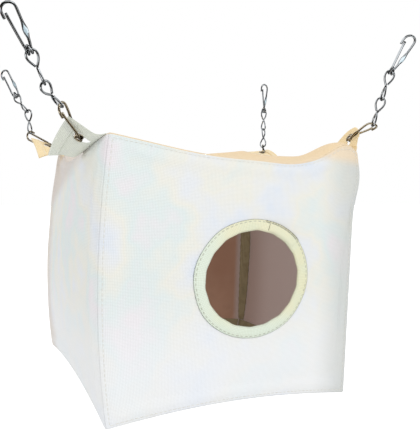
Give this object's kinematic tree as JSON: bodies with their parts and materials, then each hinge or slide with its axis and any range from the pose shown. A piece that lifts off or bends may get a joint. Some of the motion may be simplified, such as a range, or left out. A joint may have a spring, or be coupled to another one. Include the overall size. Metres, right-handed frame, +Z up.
{
  "type": "canvas pet cubby",
  "caption": "Sewn canvas cube hideout for small pets, with a round bound entry in front, hung by wire snaps and double loop chain at its top corners.",
  "frame": {"origin": "middle of the cube's floor panel, on its outer face", "axes": "+Z up, -Y towards the front, where the round entry is, +X to the right seen from the front"},
  "size_m": [0.386, 0.353, 0.3584],
  "materials": {
    "canvas": "undyed cotton canvas, coarse plain weave",
    "binding": "cream cotton bias tape",
    "seam_tape": "dark olive cotton seam tape",
    "tab_canvas": "folded and hemmed cotton canvas",
    "snap_wire": "nickel plated spring steel wire",
    "gate_wire": "nickel plated spring steel wire",
    "chain_wire": "bright zinc plated steel wire"
  },
  "bodies": {
    "canvas": {"front_panel": "canvas", "back_panel": "canvas", "left_panel": "canvas", "right_panel": "canvas", "top_panel": "canvas", "floor_panel": "canvas", "entry_binding": "binding", "seam_tape_front_left": "seam_tape", "seam_tape_back_left": "seam_tape", "seam_tape_front_right": "seam_tape", "seam_tape_back_right": "seam_tape", "seam_tape_top_front": "seam_tape", "seam_tape_top_back": "seam_tape", "seam_tape_top_left": "seam_tape", "seam_tape_top_right": "seam_tape", "seam_tape_floor_front": "seam_tape", "seam_tape_floor_back": "seam_tape", "seam_tape_floor_left": "seam_tape", "seam_tape_floor_right": "seam_tape", "corner_tab_front_left": "tab_canvas", "corner_tab_front_right": "tab_canvas", "corner_tab_back_left": "tab_canvas", "corner_tab_back_right": "tab_canvas"},
    "lower_snap_front_left": {"lower_snap_front_left": "snap_wire"},
    "lower_gate_front_left": {"lower_gate_front_left": "gate_wire"},
    "lower_link_front_left": {"lower_link_front_left": "chain_wire"},
    "upper_link_front_left": {"upper_link_front_left": "chain_wire"},
    "upper_snap_front_left": {"upper_snap_front_left": "snap_wire"},
    "upper_gate_front_left": {"upper_gate_front_left": "gate_wire"},
    "lower_snap_front_right": {"lower_snap_front_right": "snap_wire"},
    "lower_gate_front_right": {"lower_gate_front_right": "gate_wire"},
    "lower_link_front_right": {"lower_link_front_right": "chain_wire"},
    "upper_link_front_right": {"upper_link_front_right": "chain_wire"},
    "upper_snap_front_right": {"upper_snap_front_right": "snap_wire"},
    "upper_gate_front_right": {"upper_gate_front_right": "gate_wire"},
    "lower_snap_back_left": {"lower_snap_back_left": "snap_wire"},
    "lower_gate_back_left": {"lower_gate_back_left": "gate_wire"},
    "lower_link_back_left": {"lower_link_back_left": "chain_wire"},
    "upper_link_back_left": {"upper_link_back_left": "chain_wire"},
    "upper_snap_back_left": {"upper_snap_back_left": "snap_wire"},
    "upper_gate_back_left": {"upper_gate_back_left": "gate_wire"},
    "lower_snap_back_right": {"lower_snap_back_right": "snap_wire"},
    "lower_gate_back_right": {"lower_gate_back_right": "gate_wire"},
    "lower_link_back_right": {"lower_link_back_right": "chain_wire"},
    "upper_link_back_right": {"upper_link_back_right": "chain_wire"},
    "upper_snap_back_right": {"upper_snap_back_right": "snap_wire"},
    "upper_gate_back_right": {"upper_gate_back_right": "gate_wire"}
  },
  "joints": [
    {"name": "tab_pivot_front_left", "type": "hinge", "parent": "canvas", "child": "lower_snap_front_left", "pos_m": [-0.14842, -0.11065, 0.25575], "axis": [0.4709, 0.5108, 0.7192], "range_deg": [-35, 35]},
    {"name": "lower_gate_spring_front_left", "type": "hinge", "parent": "lower_snap_front_left", "child": "lower_gate_front_left", "pos_m": [-0.14842, -0.11065, 0.25575], "axis": [-0.727, 0.6865, -0.0116], "range_deg": [0, 2.5], "stiffness_Nm_per_rad": 0.05},
    {"name": "snap_link_swing_front_left", "type": "hinge", "parent": "lower_snap_front_left", "child": "lower_link_front_left", "pos_m": [-0.16743, -0.13037, 0.27993], "axis": [-0.3669, -0.4027, -0.8386], "range_deg": [-60, 60]},
    {"name": "link_link_swing_front_left", "type": "hinge", "parent": "lower_link_front_left", "child": "upper_link_front_left", "pos_m": [-0.18182, -0.14603, 0.29522], "axis": [0.7706, 0.257, 0.5832], "range_deg": [-60, 60]},
    {"name": "link_snap_swing_front_left", "type": "hinge", "parent": "upper_link_front_left", "child": "upper_snap_front_left", "pos_m": [-0.19353, -0.15798, 0.3157], "axis": [0.8761, -0.1289, 0.4645], "range_deg": [-35, 35]},
    {"name": "upper_gate_spring_front_left", "type": "hinge", "parent": "upper_snap_front_left", "child": "upper_gate_front_left", "pos_m": [-0.19345, -0.1579, 0.31557], "axis": [-0.1278, 0.867, 0.4816], "range_deg": [0, 10], "stiffness_Nm_per_rad": 0.05},
    {"name": "tab_pivot_front_right", "type": "hinge", "parent": "canvas", "child": "lower_snap_front_right", "pos_m": [0.13306, -0.10564, 0.26708], "axis": [-0.9556, 0.0452, 0.2912], "range_deg": [-35, 35]},
    {"name": "lower_gate_spring_front_right", "type": "hinge", "parent": "lower_snap_front_right", "child": "lower_gate_front_right", "pos_m": [0.13306, -0.10564, 0.26708], "axis": [-0.2874, -0.3614, -0.887], "range_deg": [0, 2.5], "stiffness_Nm_per_rad": 0.05},
    {"name": "snap_link_swing_front_right", "type": "hinge", "parent": "lower_snap_front_right", "child": "lower_link_front_right", "pos_m": [0.13441, -0.13944, 0.28042], "axis": [0.9294, -0.3292, -0.1669], "range_deg": [-60, 60]},
    {"name": "link_link_swing_front_right", "type": "hinge", "parent": "lower_link_front_right", "child": "upper_link_front_right", "pos_m": [0.13509, -0.1497, 0.30468], "axis": [-0.9295, 0.3321, 0.1601], "range_deg": [-60, 60]},
    {"name": "link_snap_swing_front_right", "type": "hinge", "parent": "upper_link_front_right", "child": "upper_snap_front_right", "pos_m": [0.13639, -0.15978, 0.32905], "axis": [0.9171, -0.2776, -0.286], "range_deg": [-35, 35]},
    {"name": "upper_gate_spring_front_right", "type": "hinge", "parent": "upper_snap_front_right", "child": "upper_gate_front_right", "pos_m": [0.13638, -0.15967, 0.32893], "axis": [0.3961, 0.7154, 0.5756], "range_deg": [0, 10], "stiffness_Nm_per_rad": 0.05},
    {"name": "tab_pivot_back_left", "type": "hinge", "parent": "canvas", "child": "lower_snap_back_left", "pos_m": [-0.14399, 0.10672, 0.25205], "axis": [-0.2424, 0.2452, -0.9387], "range_deg": [-35, 35]},
    {"name": "lower_gate_spring_back_left", "type": "hinge", "parent": "lower_snap_back_left", "child": "lower_gate_back_left", "pos_m": [-0.14399, 0.10672, 0.25205], "axis": [-0.7883, -0.6137, 0.0432], "range_deg": [0, 2.5], "stiffness_Nm_per_rad": 0.05},
    {"name": "snap_link_swing_back_left", "type": "hinge", "parent": "lower_snap_back_left", "child": "lower_link_back_left", "pos_m": [-0.16177, 0.13072, 0.26863], "axis": [0.6131, -0.7777, 0.1391], "range_deg": [-60, 60]},
    {"name": "link_link_swing_back_left", "type": "hinge", "parent": "lower_link_back_left", "child": "upper_link_back_left", "pos_m": [-0.16605, 0.13515, 0.29353], "axis": [-0.6045, 0.4212, -0.6761], "range_deg": [-60, 60]},
    {"name": "link_snap_swing_back_left", "type": "hinge", "parent": "upper_link_back_left", "child": "upper_snap_back_left", "pos_m": [-0.17665, 0.14949, 0.313], "axis": [0.6612, -0.5008, 0.5586], "range_deg": [-35, 35]},
    {"name": "upper_gate_spring_back_left", "type": "hinge", "parent": "upper_snap_back_left", "child": "upper_gate_back_left", "pos_m": [-0.17659, 0.14941, 0.31286], "axis": [0.6661, 0.7344, -0.13], "range_deg": [0, 10], "stiffness_Nm_per_rad": 0.05},
    {"name": "tab_pivot_back_right", "type": "hinge", "parent": "canvas", "child": "lower_snap_back_right", "pos_m": [0.1459, 0.10887, 0.25315], "axis": [0.1075, 0.1384, -0.9845], "range_deg": [-35, 35]},
    {"name": "lower_gate_spring_back_right", "type": "hinge", "parent": "lower_snap_back_right", "child": "lower_gate_back_right", "pos_m": [0.1459, 0.10887, 0.25315], "axis": [-0.8637, 0.5035, -0.0236], "range_deg": [0, 1.5], "stiffness_Nm_per_rad": 0.05},
    {"name": "snap_link_swing_back_right", "type": "hinge", "parent": "lower_snap_back_right", "child": "lower_link_back_right", "pos_m": [0.16216, 0.13728, 0.26413], "axis": [-0.4715, -0.7906, 0.3907], "range_deg": [-60, 60]},
    {"name": "link_link_swing_back_right", "type": "hinge", "parent": "lower_link_back_right", "child": "upper_link_back_right", "pos_m": [0.16591, 0.14524, 0.28869], "axis": [0.8084, 0.5886, 0], "range_deg": [-60, 60]},
    {"name": "link_snap_swing_back_right", "type": "hinge", "parent": "upper_link_back_right", "child": "upper_snap_back_right", "pos_m": [0.16581, 0.14522, 0.31514], "axis": [0.9812, 0.1918, 0.0229], "range_deg": [-35, 35]},
    {"name": "upper_gate_spring_back_right", "type": "hinge", "parent": "upper_snap_back_right", "child": "upper_gate_back_right", "pos_m": [0.16581, 0.14523, 0.31497], "axis": [-0.1924, 0.981, 0.0263], "range_deg": [0, 10], "stiffness_Nm_per_rad": 0.05}
  ]
}
